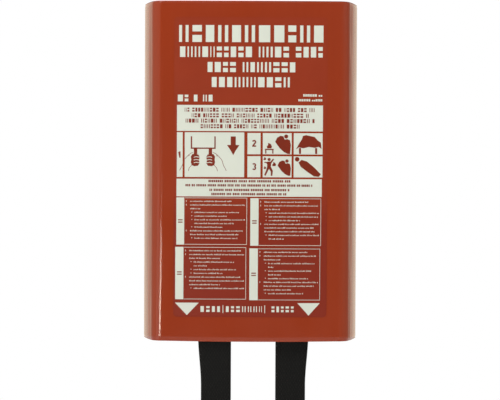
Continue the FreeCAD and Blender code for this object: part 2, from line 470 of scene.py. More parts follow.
def cover_rows():
    """Heights of the cover's cross-sections and how far each is drawn in at its edge."""
    turns = np.radians(np.linspace(90, 0, 4))
    lift = EDGE_BREAK * (1 - np.sin(turns))
    draw = EDGE_BREAK * (1 - np.cos(turns))
    low, high = COVER_LOW.z, COVER_HIGH.z
    middle = np.linspace(low + 2 * MM, high - 2 * MM, 130)
    heights = np.concatenate([low + lift, middle, high - lift[::-1]])
    insets = np.concatenate([draw[::-1], np.zeros(len(middle)), draw])
    return heights, insets


def corner_wave(x, y, z):
    """Waviness of the upright front edges, where the moulding cooled unevenly."""
    across = np.hypot(abs(x) - front_corner[0], y - front_corner[1])
    near = smooth_step((abs(x) - 66 * MM) / (7 * MM)) * float(across < 12 * MM)
    return near * 0.15 * MM * waves(x * 90.0, y * 90.0, z * 46.0)


def shape_cover(rings, heights, insets):
    """Adds the sag of the lower edge and the ripples to the outer surface."""
    count = len(case_path(0.0))
    for row, (z, inset) in enumerate(zip(heights, insets)):
        normals = (case_path(inset) - case_path(inset + 0.1 * MM)) / (0.1 * MM)
        for i in range(count):
            x, y, _ = rings[row, i]
            facing = max(0.0, -normals[i][1])
            push = corner_wave(x, y, z) + facing**2 * front_ripple(x, z)
            rings[row, i, :2] += normals[i] * push
        hang = smooth_step(1 - (z - COVER_LOW.z) / (30 * MM))
        across = np.clip(1 - (rings[row, :, 0] / (70 * MM)) ** 2, 0, 1)
        in_front = smooth_step((-rings[row, :, 1] - 30 * MM) / (4 * MM))
        rings[row, :, 2] -= LOWER_SAG * hang * across * in_front


def rivet_cutter():
    """One mesh of sunk holes for the rear returns."""
    past = 0.6 * MM
    profile = [(0.0, past), (RIVET_SINK_RADIUS + 0.5 * MM, past),
               (RIVET_SINK_RADIUS, 0.0), (RIVET_HOLE_RADIUS, -RIVET_SINK_DEPTH),
               (RIVET_HOLE_RADIUS, -WALL - past), (0.0, -WALL - past)]
    around = 32
    vertices, faces = [], []
    for side in (-1, 1):
        for z in RIVET_HEIGHTS:
            base = len(vertices)
            for radius, y in profile:
                for k in range(around):
                    turn = 2 * math.pi * k / around
                    vertices.append((side * RIVET_X + radius * math.cos(turn), y,
                                     z + radius * math.sin(turn)))
            faces += ring_faces(len(profile), around, base)
    made = make_object("rivet_cutter", vertices, faces, CASE_RED)
    turn_faces_out(made.data, merge=True)
    return made


def mark_rubbed(obj, reach):
    """Stores how close each point is to a cut edge of the case, for the worn colour."""
    values = []
    for vertex in obj.data.vertices:
        _, y, z = vertex.co
        ends = min(z - COVER_LOW.z, COVER_HIGH.z - z)
        values.append(math.exp(-max(0.0, ends) / reach) * 0.7 if y < 0 else 0.0)
    layer = obj.data.attributes.new("rubbed", "FLOAT", "POINT")
    layer.data.foreach_set("value", values)


def cover_faces(rows, count):
    """The channel's walls and its two cut ends."""
    faces = ring_faces(rows, count)
    path_count = len(case_path(0.0))
    pairs = [(k, path_count + 4 + path_count - 1 - k) for k in range(path_count)]
    for row, flip in ((0, True), (rows - 1, False)):
        base = row * count
        for (a, b), (c, d) in zip(pairs, pairs[1:]):
            quad = (base + a, base + c, base + d, base + b)
            faces.append(quad[::-1] if flip else quad)
        left = list(range(path_count - 1, path_count + 5))
        right = list(range(2 * path_count + 3, 2 * path_count + 8)) + [0]
        for end in (left, right):
            cap = [base + k for k in end]
            faces.append(tuple(cap[::-1] if flip else cap))
    return faces


def make_cover():
    """The channel: bowed front, rounded edges, spreading sides and rear returns."""
    heights, insets = cover_rows()
    rings = np.array([
        np.column_stack([case_ring(inset), np.full(len(case_ring(inset)), z)])
        for z, inset in zip(heights, insets)
    ])
    shape_cover(rings, heights, insets)
    faces = cover_faces(*rings.shape[:2])
    cover = make_object("case_cover", rings.reshape(-1, 3), faces, CASE_RED)
    turn_faces_out(cover.data)
    cutter = rivet_cutter()
    cut = cover.modifiers.new("rivet_holes", "BOOLEAN")
    cut.operation = "DIFFERENCE"
    cut.solver = "EXACT"
    cut.object = cutter
    apply_modifiers(cover)
    bpy.data.objects.remove(cutter)
    shade_smooth(cover.data, 32)
    mark_rubbed(cover, 0.5 * MM)
    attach(cover, "case")
    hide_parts("front_cover")


def softened_copy(node, name, material, width):
    """A CAD part's own shape with its edges softened, in place of the plain one."""
    work = bmesh.new()
    work.from_mesh(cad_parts[node].data)
    bmesh.ops.remove_doubles(work, verts=work.verts, dist=SAME_POINT)
    mesh = bpy.data.meshes.new(name)
    work.to_mesh(mesh)
    work.free()
    mesh.materials.clear()
    mesh.materials.append(material)
    shade_smooth(mesh)
    made = add_object(name, mesh)
    soft = made.modifiers.new("softened", "BEVEL")
    soft.width = width
    soft.segments = 2
    soft.limit_method = "ANGLE"
    soft.angle_limit = math.radians(35)
    soft.use_clamp_overlap = True
    soft.miter_outer = "MITER_ARC"
    cut = made.modifiers.new("large_faces_cut", "TRIANGULATE")
    cut.min_vertices = 5
    made.modifiers.new("flat_faces_stay_flat", "WEIGHTED_NORMAL")
    apply_modifiers(made)
    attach(made, "case")
    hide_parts(node)


# ---------------------------------------------------------------- printed film

def rounded_ends(x0, x1, z0, z1, radius, turns):
    """Columns (x, lowest z, highest z) of a rounded rectangle's two ends."""
    corner = [(radius * (1 - math.cos(turn)), radius * (1 - math.sin(turn)))
              for turn in np.radians(turns)]
    left = [(x0 + along, z0 + drop, z1 - drop) for along, drop in corner]
    right = [(x1 - along, z0 + drop, z1 - drop) for along, drop in reversed(corner)]
    return left, right


def column_solid(columns, raised, thickness):
    """A closed thin solid on the front, from columns (x, lowest z, highest z)."""
    vertices, faces = [], []
    for x, low, high in columns:
        for z in (low, high):
            top = front_surface(x, z, raised + thickness)
            under = front_surface(x, z, raised - INK_SINK)
            vertices += [(x, top, z), (x, under, z)]
    for k in range(len(columns) - 1):
        a = 4 * k
        b = a + 4
        faces.append((a, b, b + 2, a + 2))
        faces.append((a + 1, a + 3, b + 3, b + 1))
        faces.append((a, a + 1, b + 1, b))
        faces.append((a + 2, b + 2, b + 3, a + 3))
    last = 4 * (len(columns) - 1)
    faces.append((0, 2, 3, 1))
    faces.append((last, last + 1, last + 3, last + 2))
    return vertices, faces


class Print:
    """Shapes of one ink, gathered into one mesh. Sizes here are in millimetres."""

    def __init__(self, name, material, slot, raised):
        self.name = name
        self.material = material
        self.slot = slot
        self.raised = raised
        self.vertices = []
        self.faces = []

    def add(self, vertices, faces):
        base = len(self.vertices)
        self.vertices += vertices
        self.faces += [tuple(base + i for i in face) for face in faces]

    def columns(self, columns, step=6.0):
        """Columns with more put between those that are far apart, to follow the bow."""
        fine = [columns[0]]
        for start, end in zip(columns, columns[1:]):
            parts = max(1, math.ceil((end[0] - start[0]) / step))
            for k in range(1, parts + 1):
                share = k / parts
                fine.append(tuple(a + (b - a) * share for a, b in zip(start, end)))
        fine = [(x * MM, low * MM, high * MM) for x, low, high in fine]
        self.add(*column_solid(fine, self.raised, PRINT_THICKNESS))

    def bar(self, x0, x1, z0, z1, radius=0.0):
        """A rectangle with rounded corners."""
        radius = min(radius, (z1 - z0) / 2.001, (x1 - x0) / 2.001)
        if radius <= 0:
            self.columns([(x0, z0, z1), (x1, z0, z1)])
            return
        left, right = rounded_ends(x0, x1, z0, z1, radius, (0, 30, 60, 90))
        self.columns(left + right)

    def disc(self, x, z, radius):
        """A round dot."""
        least = 0.001
        self.columns([
            (x + radius * math.cos(t), z - radius * math.sin(t) - least,
             z + radius * math.sin(t) + least)
            for t in np.radians(np.linspace(180, 0, 13))
        ])

    def outline(self, points):
        """Any polygon without holes, from its corners in order."""
        work = bmesh.new()
        corners = [work.verts.new((x, z, 0.0)) for x, z in points]
        work.faces.new(corners)
        bmesh.ops.triangulate(work, faces=work.faces[:])
        flat = [(v.co.x, v.co.y) for v in work.verts]
        work.verts.index_update()
        triangles = [tuple(v.index for v in f.verts) for f in work.faces]
        work.free()
        count = len(flat)
        vertices = []
        for level in (PRINT_THICKNESS, -INK_SINK):
            for x, z in flat:
                y = front_surface(x * MM, z * MM, self.raised + level)
                vertices.append((x * MM, y, z * MM))
        faces = list(triangles)
        faces += [tuple(count + i for i in reversed(t)) for t in triangles]
        for k in range(count):
            after = (k + 1) % count
            faces.append((k, k + count, after + count, after))
        self.add(vertices, faces)

    def stroke(self, points, width):
        """A line of even width through points, with square ends."""
        points = [np.array(p, float) for p in points]
        left, right = [], []
        for k, point in enumerate(points):
            before = points[max(k - 1, 0)]
            after = points[min(k + 1, len(points) - 1)]
            along = (after - before) / np.linalg.norm(after - before)
            side = np.array([-along[1], along[0]]) * width / 2
            left.append(tuple(point + side))
            right.append(tuple(point - side))
        self.outline(left + right[::-1])

    def finish(self):
        made = make_object(self.name, self.vertices, self.faces, self.material, 30)
        turn_faces_out(made.data)
        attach(made, "case")


def split_block(ink, x0, x1, z0, z1, slit, way):
    """A block, whole or cut in two by a slit across it or down it."""
    x, z = (x0 + x1) / 2, z0 + 0.52 * (z1 - z0)
    if way == "across":
        ink.bar(x0, x1, z0, z - slit / 2)
        ink.bar(x0, x1, z + slit / 2, z1)
    elif way == "down":
        ink.bar(x0, x - slit / 2, z0, z1)
        ink.bar(x + slit / 2, x1, z0, z1)
    else:
        ink.bar(x0, x1, z0, z1)


def block_row(ink, x0, x1, z0, z1, words, seed, tall_share=1.0, slit=0.0, gap=0.17):
    """A row of plain blocks in word-like groups that fills x0..x1: stands for print."""
    dice = random.Random(seed)
    height = z1 - z0
    pieces = []
    cursor = 0.0
    for k, letters in enumerate(words):
        if k:
            cursor += 0.45 * height
        for _ in range(letters):
            wide = height * dice.uniform(0.42, 0.62)
            tall = height if dice.random() < tall_share else 0.70 * height
            way = dice.choice(("across", "down", "whole")) if slit else "whole"
            pieces.append((cursor, cursor + wide, tall, way))
            cursor += wide + gap * height
    scale = (x1 - x0) / (cursor - gap * height)
    for start, end, tall, way in pieces:
        split_block(ink, x0 + start * scale, x0 + end * scale, z0, z0 + tall, slit * height, way)


def word_lengths(dice, total):
    """Splits a number of letters into words of two to nine."""
    words = []
    while total > 0:
        letters = min(total, dice.randint(2, 9))
        words.append(letters)
        total -= letters
    return words


def small_line(ink, x0, x1, z, height, seed, tall_share, slit=0.0, gap=0.17):
    """A line of small print-like blocks between x0 and x1, standing on z."""
    dice = random.Random(seed)
    letters = max(2, round((x1 - x0) / ((0.69 + gap) * height)))
    words = word_lengths(dice, letters)
    block_row(ink, x0, x1, z, z + height, words, seed, tall_share, slit, gap)


def film_titles(cream):
    """The large rows at the top."""
    rows = ((-59.5, 60.0, 5.8, 19.8, (11,)), (-58.7, 59.5, -6.6, 2.1, (10, 4, 4)),
            (-35.8, 36.8, -19.0, -10.7, (4, 7)), (-32.3, 32.3, -31.4, -23.1, (10,)),
            (-60.4, -31.6, -43.3, -37.8, (2, 1, 2)))
    for seed, (left, right, low, high, words) in enumerate(rows, 11):
        block_row(cream, left, right, low, high, words, seed, slit=0.21, gap=0.21)
    for low, high, left in ((-39.0, -37.0, 43.5), (-42.9, -41.1, 39.5)):
        small_line(cream, left, 59.3, low, high - low, 16, 0.8)


def film_notices(cream, red):
    """Two pale bands with rows of red blocks."""
    cream.bar(-61.0, 59.9, -67.8, -46.3)
    rows = ((-50.1, -54.6, 52.9), (-54.8, -48.8, 48.0), (-59.2, -53.8, 52.9),
            (-63.8, -41.4, 40.5))
    for k, (z, left, right) in enumerate(rows):
        small_line(red, left, right, z - 1.7, 3.3, 31 + k, 1.0, slit=0.24, gap=0.20)
    cream.bar(-61.2, 59.2, -122.0, -107.4)
    rows = ((-109.3, -34.7, 33.1), (-112.8, -53.8, 51.3), (-116.6, -33.9, 32.3),
            (-120.0, -32.3, 29.8))
    for k, (z, left, right) in enumerate(rows):
        small_line(red, left, right, z - 0.9, 1.9, 41 + k, 1.0)


def placed(points, x, z, size=1.0, side=1):
    """Points of a small drawing at its place, scaled, and mirrored where side is -1."""
    return [(x + side * size * a, z + size * b) for a, b in points]


def numeral_one(ink, x, z, size):
    ink.outline(placed([(-0.08, -0.5), (0.10, -0.5), (0.10, 0.5), (-0.05, 0.5), (-0.28, 0.36),
                        (-0.22, 0.22), (-0.08, 0.31)], x, z, size))


def numeral_two(ink, x, z, size):
    bend = [(x + 0.24 * size * math.cos(t), z + 0.24 * size + 0.22 * size * math.sin(t))
            for t in np.radians(np.linspace(165, -30, 9))]
    ink.stroke(bend + placed([(-0.22, -0.42)], x, z, size), 0.24 * size)
    ink.bar(x - 0.32 * size, x + 0.34 * size, z - 0.56 * size, z - 0.34 * size)


def numeral_three(ink, x, z, size):
    for middle, start, end in ((0.25, 150, -80), (-0.25, 80, -150)):
        bend = [(x + 0.24 * size * math.cos(t), z + middle * size + 0.22 * size * math.sin(t))
                for t in np.radians(np.linspace(start, end, 11))]
        ink.stroke(bend, 0.22 * size)


def gripping_hand(red, cream, x, z, side):
    """A closed hand round a strap, with the outline of its forearm."""
    fist = [(0.0, 5.2), (2.6, 5.0), (3.9, 3.0), (3.5, 0.4), (3.9, -1.6), (3.2, -4.0),
            (1.0, -5.0), (-2.0, -4.6), (-3.3, -2.6), (-2.9, 0.2), (-3.5, 2.4), (-2.4, 4.6)]
    red.outline(placed(fist if side > 0 else fist[::-1], x, z, side=side))
    for k in range(3):
        level = z + 2.4 - 2.3 * k
        knuckle = [(-3.6, 0.0), (-0.4, 0.5), (1.5, 0.0)]
        cream.stroke(placed(knuckle, x, level, side=side), 0.55)
    thumb = [(2.2, 6.3), (4.4, 5.6), (5.8, 3.2)]
    outer_arm = [(5.6, 4.6), (9.4, 0.4), (11.0, -4.4), (13.2, -8.6)]
    inner_arm = [(3.2, -4.0), (5.2, -6.4), (5.9, -9.0)]
    for line in (thumb, outer_arm, inner_arm):
        red.stroke(placed(line, x, z, side=side), 0.4)


def pull_pictogram(red, cream_over):
    """A case with two hands on its straps, and an arrow down."""
    for x in (-48.9, -29.4):
        red.bar(x - 0.55, x + 0.55, -81.5, -72.2)
    red.bar(-49.45, -28.85, -82.6, -81.5)
    for x, side in ((-45.5, -1), (-33.2, 1)):
        red.bar(x - 1.4, x + 1.4, -87.0, -82.6)
        gripping_hand(red, cream_over, x, -92.0, side)
    red.columns([(-19.4, -79.4, -79.3), (-16.4, -83.9, -79.3)])
    red.columns([(-16.4, -83.9, -72.2), (-14.3, -87.7, -72.2), (-12.2, -83.9, -72.2)])
    red.columns([(-12.2, -83.9, -79.3), (-9.2, -79.4, -79.3)])


def flame(ink, x, z, size):
    """A small pointed flame standing on z."""
    points = [(-0.36, 0.0), (-0.46, 0.34), (-0.20, 0.62), (-0.22, 1.0), (0.06, 0.70),
              (0.14, 0.46), (0.26, 0.78), (0.46, 0.36), (0.36, 0.0)]
    ink.outline(placed(points[::-1], x, z, size))


def person_with_blanket(ink, x, z, size):
    """A figure behind a blanket that is held up by its corners; it stands on z."""
    ink.disc(x + 0.08 * size, z + 0.925 * size, 0.105 * size)
    cloth = [(-0.51, 0.64), (-0.40, 0.86), (-0.22, 0.96), (-0.07, 0.93), (0.0, 0.76),
             (0.13, 0.79), (0.27, 0.73), (0.33, 0.48), (0.29, 0.0), (0.16, 0.0),
             (0.12, 0.30), (-0.04, 0.10), (-0.26, 0.30)]
    ink.outline(placed(cloth[::-1], x, z, size))


def stand(ink, x, z, size):
    """A low stand with two legs."""
    ink.bar(x - 0.42 * size, x + 0.42 * size, z + 0.34 * size, z + 0.46 * size)
    for side in (-1, 1):
        leg = x + side * 0.34 * size
        ink.bar(leg - 0.06 * size, leg + 0.06 * size, z, z + 0.34 * size)


def use_pictograms(red):
    """The four small pictures: fire, covered fire, burning person, wrapped person."""
    stand(red, 15.6, -86.3, 8.6)
    flame(red, 15.6, -82.0, 4.6)
    person_with_blanket(red, 28.3, -86.5, 15.6)
    cover = [(37.6, -82.8), (40.2, -78.0), (42.6, -74.4), (43.4, -71.6), (46.0, -70.9),
             (53.2, -72.4), (55.4, -75.0), (58.2, -77.0), (58.9, -82.2), (56.4, -80.6),
             (53.4, -81.4), (48.4, -80.6), (43.8, -81.8), (40.2, -81.0)]
    red.outline(cover[::-1])
    for x in (41.0, 54.4):
        red.bar(x - 0.85, x + 0.85, -86.4, -81.6)
    red.disc(15.5, -91.2, 1.3)
    body = [(14.6, -92.9), (16.6, -92.9), (18.7, -90.4), (19.6, -91.0), (17.2, -94.6),
            (16.9, -97.2), (18.6, -100.6), (18.2, -104.7), (16.9, -104.7), (16.9, -101.2),
            (15.4, -98.9), (14.1, -101.6), (12.6, -104.7), (11.4, -104.1), (12.9, -100.6),
            (13.9, -97.2), (13.9, -95.0), (11.9, -93.0), (11.3, -93.9)]
    red.outline(body)
    for x, z, size in ((19.6, -96.6, 3.4), (11.9, -91.6, 2.4), (12.0, -99.0, 2.2)):
        flame(red, x, z, size)
    person_with_blanket(red, 29.2, -104.6, 13.2)
    red.disc(38.7, -90.9, 1.9)
    wrapped = [(39.9, -93.6), (42.3, -91.4), (46.6, -92.6), (52.4, -97.2), (58.4, -103.2),
               (56.6, -105.4), (52.6, -105.0), (46.8, -101.0), (41.6, -97.0)]
    red.outline(wrapped[::-1])


def film_pictures(cream, red, cream_over):
    """The pale cells with the numbers and the small pictures."""
    cells = ((-61.0, -56.2, -105.9, -68.9), (-54.5, -5.2, -105.9, -68.9),
             (-2.5, 8.3, -86.9, -69.3), (-2.5, 8.3, -105.9, -88.5),
             (10.2, 34.1, -86.9, -69.3), (10.2, 34.1, -105.9, -88.5),
             (35.8, 59.7, -86.9, -69.3), (35.8, 59.7, -105.9, -88.5))
    for x0, x1, z0, z1 in cells:
        cream.bar(x0, x1, z0, z1)
    numeral_one(red, -58.5, -87.4, 5.2)
    numeral_two(red, 3.0, -77.9, 5.0)
    numeral_three(red, 3.0, -97.1, 5.0)
    pull_pictogram(red, cream_over)
    use_pictograms(red)


def instruction_box(cream, red, strip, frame_right, rows, seed):
    """A strip with a mark beside a thin-lined box with rows of small blocks."""
    x0, x1, z0, z1 = strip
    cream.bar(x0, x1, z0, z1)
    middle = (z0 + z1) / 2
    centre = (x0 + x1) / 2
    for low, high in ((-1.4, -0.5), (0.5, 1.4)):
        red.bar(centre - 1.9, centre + 1.9, middle + low, middle + high)
    left = x1 + 0.4
    for z in (z0 + 0.1, z1 - 0.5):
        cream.bar(left, frame_right, z, z + 0.35)
    cream.bar(frame_right - 0.35, frame_right, z0 + 0.55, z1 - 0.6)
    dice = random.Random(seed)
    pitch = 3.06 if z1 - z0 < 41 else 3.12
    for k, (kind, share) in enumerate(rows):
        z = z1 - 3.6 - pitch * k
        indent = 4.6 if kind in ("number", "more") else 8.2
        if kind == "number":
            cream.bar(left + 1.1, left + 1.5, z, z + 1.3)
        if kind == "point":
            cream.bar(left + 5.6, left + 6.2, z + 0.4, z + 1.0)
        start = left + indent
        end = start + (frame_right - 1.8 - start) * share
        small_line(cream, start, end, z, 1.0, dice.randint(0, 9999), 0.30, gap=0.42)


def film_instructions(cream, red):
    """The four boxes of small rows below the pictures."""
    upper_left = (("number", 0.75), ("number", 1.0), ("more", 0.18), ("point", 0.88),
                  ("point", 0.64), ("point", 1.0), ("deeper", 0.78), ("point", 0.55),
                  ("number", 0.96), ("more", 0.88), ("point", 0.85))
    upper_right = (("number", 0.80), ("number", 0.98), ("more", 0.28), ("point", 1.0),
                   ("point", 0.98), ("point", 0.62), ("number", 0.99), ("more", 0.90),
                   ("more", 0.92), ("point", 1.0), ("deeper", 0.30))
    lower_left = (("number", 0.94), ("number", 1.0), ("more", 0.56), ("point", 0.80),
                  ("deeper", 0.26), ("point", 0.84), ("point", 0.57), ("number", 0.93),
                  ("more", 1.0), ("more", 0.56), ("point", 1.0))
    lower_right = (("number", 0.80), ("number", 0.96), ("more", 0.30), ("point", 0.93),
                   ("deeper", 0.10), ("point", 0.86), ("deeper", 0.25), ("point", 0.80),
                   ("number", 1.0), ("more", 0.92), ("more", 0.50), ("point", 0.70))
    boxes = (((-61.2, -54.7, -162.0, -122.9), -2.7, upper_left),
             ((0.1, 6.9, -162.7, -123.3), 58.7, upper_right),
             ((-62.0, -55.2, -207.4, -163.9), -3.3, lower_left),
             ((-0.5, 6.5, -207.9, -164.9), 58.1, lower_right))
    for seed, (strip, frame_right, rows) in enumerate(boxes, 71):
        instruction_box(cream, red, strip, frame_right, rows, seed)


def film_footer(cream):
    """Two arrow heads with a short row between them."""
    for left, right in ((-62.0, -42.5), (39.5, 57.9)):
        middle = (left + right) / 2
        cream.columns([(left, -210.3, -210.2), (middle, -220.5, -210.2),
                       (right, -210.3, -210.2)])
    rows = ((-40.9, -24.8, 4), (-19.8, 10.0, 7), (18.0, 36.4, 5))
    for seed, (left, right, letters) in enumerate(rows, 81):
        block_row(cream, left, right, -217.8, -213.0, (letters,), seed, slit=0.26, gap=0.36)
    for x in (-22.3, 12.4):
        cream.bar(x - 0.3, x + 0.3, -218.6, -212.2)


def film_columns():
    """The film's outline as columns, with rounded corners."""
    low, high = FILM_LOW, FILM_HIGH
    left, right = rounded_ends(low.x, high.x, low.z, high.z, FILM_CORNER, range(0, 91, 15))
    inner = [(x, low.z, high.z) for x in np.linspace(left[-1][0], right[0][0], 26)[1:-1]]
    return left + inner + right


def film_mesh(columns):
    """A closed thin sheet that follows the front, cut finely up and down."""
    steps = 60
    vertices, faces = [], []
    for x, z0, z1 in columns:
        for level in (FILM_THICKNESS, -FILM_SINK):
            for k in range(steps + 1):
                z = z0 + (z1 - z0) * k / steps
                vertices.append((x, front_surface(x, z, level), z))
    row = 2 * (steps + 1)
    for c in range(len(columns) - 1):
        a, b = c * row, (c + 1) * row
        for k in range(steps):
            faces.append((a + k, b + k, b + k + 1, a + k + 1))
            back = steps + 1 + k
            faces.append((a + back, a + back + 1, b + back + 1, b + back))
        faces.append((a, a + steps + 1, b + steps + 1, b))
        faces.append((a + steps, b + steps, b + 2 * steps + 1, a + 2 * steps + 1))
    last = (len(columns) - 1) * row
    for k in range(steps):
        faces.append((k, k + 1, steps + 2 + k, steps + 1 + k))
        faces.append((last + k, last + steps + 1 + k, last + steps + 2 + k, last + k + 1))
    return vertices, faces


def make_film():
    """The self-adhesive film."""
    film = make_object("label_film", *film_mesh(film_columns()), FILM_RED, 30)
    turn_faces_out(film.data)
    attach(film, "case")
    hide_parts("instruction_label")


def make_print():
    """Three layers of ink on the film."""
    cream = Print("label_cream_print", CREAM_INK, "label_cream", FILM_THICKNESS)
    red = Print("label_red_print", RED_INK, "label_film", FILM_THICKNESS + PRINT_THICKNESS)
    over = Print("label_cream_details", CREAM_INK, "label_cream",
                 FILM_THICKNESS + 2 * PRINT_THICKNESS)
    film_titles(cream)
    film_notices(cream, red)
    film_pictures(cream, red, over)
    film_instructions(cream, red)
    film_footer(cream)
    for ink in (cream, red, over):
        ink.finish()


# ---------------------------------------------------------------- folded blanket

def strap_slot(side):
    """The room that the sewn strap and its patch take between the pack's layers."""
    anchor_low, anchor_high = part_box(f"strap_anchor_{side}")
    patch_low, patch_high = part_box(f"corner_patch_{side}")
    return {
        "x": (anchor_low.x + anchor_high.x) / 2,
        "half": (patch_high.x - patch_low.x) / 2,
        "top": patch_high.z,
        "front": anchor_low.y,
        "rear": patch_high.y,
    }


SLOTS = {side: strap_slot(side) for side in ("left", "right")}

BUNDLE = PANELS * LAYER_PITCH    # thickness of the concertina
PASS_DEPTHS = [
    (PACK_LOW.y + PACK_HIGH.y) / 2 + (1.5 - k) * BUNDLE for k in range(PASSES)
]


def concertina(u):
    """Place across the case and offset in the bundle of a point u along the cloth's width."""
    width = CLOTH_SIDE / PANELS
    radius = LAYER_PITCH / 2
    take = math.pi * radius / 2
    reach = width / 2 - take
    panel = min(int(u / width), PANELS - 1)
    along = u - panel * width
    way = 1 if panel % 2 == 0 else -1
    level = (panel - (PANELS - 1) / 2) * LAYER_PITCH
    if along > width - take and panel < PANELS - 1:
        turn = (along - width + take) / radius
        return way * (reach + radius * math.sin(turn)), level + radius * (1 - math.cos(turn))
    if along < take and panel > 0:
        turn = math.pi / 2 + along / radius
        across = -way * (reach + radius * math.sin(turn))
        return across, level - radius * (1 + math.cos(turn))
    return way * (along - width / 2), level


def concertina_samples():
    """Points along the cloth's width, close together in its turns."""
    width = CLOTH_SIDE / PANELS
    take = math.pi * LAYER_PITCH / 4
    found = [0.0]
    for panel in range(PANELS):
        start = panel * width + (take if panel else 0.0)
        end = (panel + 1) * width - (take if panel < PANELS - 1 else 0.0)
        found += list(np.linspace(start, end, 25)[0 if panel else 1:])
        if panel < PANELS - 1:
            found += list(np.linspace(end, end + 2 * take, 9)[1:-1])
    return found


def bundle_line():
    """The bundle's centre line up and down the case: depth, height, normal, arc length."""
    radius = BUNDLE / 2
    outer = radius + (PANELS - 1) / 2 * LAYER_PITCH + CLOTH_THICKNESS / 2
    top = PACK_HIGH.z - outer
    low = PACK_LOW.z + outer
    arcs = (PASSES - 1) * math.pi * radius
    free = (CLOTH_SIDE - arcs - 2 * (top - low)) / 2
    rows = []
    for k, depth in enumerate(PASS_DEPTHS):
        ends = {0: (top - free, top), 1: (top, low), 2: (low, top), 3: (top, top - free)}[k]
        facing = -1 if k % 2 == 0 else 1
        for z in np.linspace(*ends, 50)[(0 if k == 0 else 1):]:
            rows.append((depth, z, facing, 0.0))
        if k == PASSES - 1:
            break
        middle = (depth + PASS_DEPTHS[k + 1]) / 2
        for turn in np.linspace(0, math.pi, 15)[1:]:
            y = middle + radius * math.cos(turn)
            if k % 2 == 0:
                z = top + radius * math.sin(turn)
                rows.append((y, z, -math.cos(turn), -math.sin(turn)))
            else:
                z = low - radius * math.sin(turn)
                rows.append((y, z, math.cos(turn), -math.sin(turn)))
    rows = np.array(rows)
    steps = np.linalg.norm(np.diff(rows[:, :2], axis=0), axis=1)
    return rows, np.concatenate([[0.0], np.cumsum(steps)])


def near_strap(points, slot):
    """One where a strap and its patch are sewn in, down to nothing some way off."""
    beside = smooth_step(1 - (np.abs(points[..., 0] - slot["x"]) - slot["half"]) / (9 * MM))
    above = smooth_step(1 - (points[..., 2] - slot["top"]) / (14 * MM))
    return beside * above


def make_room(points):
    """Moves the layers apart where a strap and its patch are sewn in."""
    front, rear = PACK_LOW.y, PACK_HIGH.y
    spare = CLOTH_THICKNESS / 2 + 0.25 * MM
    last = PASS_DEPTHS[-1]
    half_stack = (PANELS - 1) / 2 * LAYER_PITCH
    breaks = {"left": last - half_stack + LAYER_PITCH / 2,
              "right": last + half_stack + LAYER_PITCH / 2}
    for side, slot in SLOTS.items():
        part = breaks[side]
        ahead = (slot["front"] - spare - front) / (part - front)
        behind = (slot["rear"] + spare - rear) / (part - rear)
        y = points[..., 1]
        moved = np.where(y < part, front + (y - front) * ahead, rear + (y - rear) * behind)
        points[..., 1] = y + (moved - y) * near_strap(points, slot)


def cloth_wander(u, v):
    """Small slips of a hand-folded cloth: across the case and along it."""
    across = 1.2 * MM * waves(u * 15.0, v * 6.0, 1.7)
    across += 0.7 * MM * waves(v * 3.3, 5.2, 0.6)
    along = 1.8 * MM * waves(u * 16.0, 0.4, 8.2)
    return across, along


def crumple(x, z, seed):
    """How far a face of the pack is pressed in: long dents, creases and fine wrinkles."""
    turned = x + 0.35 * z
    dents = waves(turned * 38.0, z * 13.0, seed)
    ridge = abs(waves((x - 0.8 * z) * 24.0, z * 9.0, seed + 9.0))
    fine = waves(x * 80.0, z * 55.0, seed + 2.0)
    depth = 1.2 + 1.7 * dents + 1.1 * max(0.0, 1 - 4 * ridge) + 0.5 * fine
    return min(max(depth, -0.3), 2.8) * MM


def crumple_pack(points):
    """Presses the pack's two faces in unevenly; the layers below give way less and less."""
    middle = (PACK_LOW.y + PACK_HIGH.y) / 2
    half = (PACK_HIGH.y - PACK_LOW.y) / 2
    clear = 1 - sum(near_strap(points, slot) for slot in SLOTS.values())
    for point, free in zip(points.reshape(-1, 3), np.clip(clear, 0, 1).ravel()):
        x, y, z = point
        side = 1 if y < middle else -1
        share = min(1.0, abs(y - middle) / half)
        point[1] += side * free * share**2 * crumple(x, z, 3.0 if side > 0 else 31.0)


def cloth_points():
    """The cloth's middle surface as a grid, and each point's place on the flat cloth."""
    across = concertina_samples()
    line, lengths = bundle_line()
    points = np.zeros((len(across), len(line), 3))
    flat = np.zeros((len(across), len(line), 2))
    for i, u in enumerate(across):
        x, offset = concertina(u)
        for j, (y, z, ny, nz) in enumerate(line):
            v = lengths[j]
            slip_x, slip_z = cloth_wander(u, v)
            free = smooth_step(1 - min(v, lengths[-1] - v) / 0.2)
            points[i, j] = (x + slip_x, y + ny * offset, z + nz * offset + slip_z * free)
            flat[i, j] = (u, v)
    make_room(points)
    crumple_pack(points)
    return points, flat


def grid_normals(points):
    """Unit normals of a grid of points."""
    along = np.gradient(points, axis=1)
    across = np.gradient(points, axis=0)
    normals = np.cross(across, along)
    return normals / np.maximum(np.linalg.norm(normals, axis=2, keepdims=True), 1e-12)


def closed_grid(points, normals, thickness):
    """Two faces of a grid of points, half the thickness either side, and its rim."""
    rows, count, _ = points.shape
    half = np.broadcast_to(np.asarray(thickness) / 2, (rows, count))[..., None]
    vertices = np.concatenate([(points + normals * half).reshape(-1, 3),
                               (points - normals * half).reshape(-1, 3)])
    total = rows * count
    faces = []
    for r in range(rows - 1):
        for c in range(count - 1):
            a = r * count + c
            quad = (a, a + 1, a + count + 1, a + count)
            faces.append(quad)
            faces.append(tuple(total + k for k in reversed(quad)))
    rim = list(range(count))
    rim += [r * count + count - 1 for r in range(1, rows)]
    rim += [(rows - 1) * count + c for c in range(count - 2, -1, -1)]
    rim += [r * count for r in range(rows - 2, 0, -1)]
    for a, b in zip(rim, rim[1:] + rim[:1]):
        faces.append((b, a, total + a, total + b))
    return vertices, faces


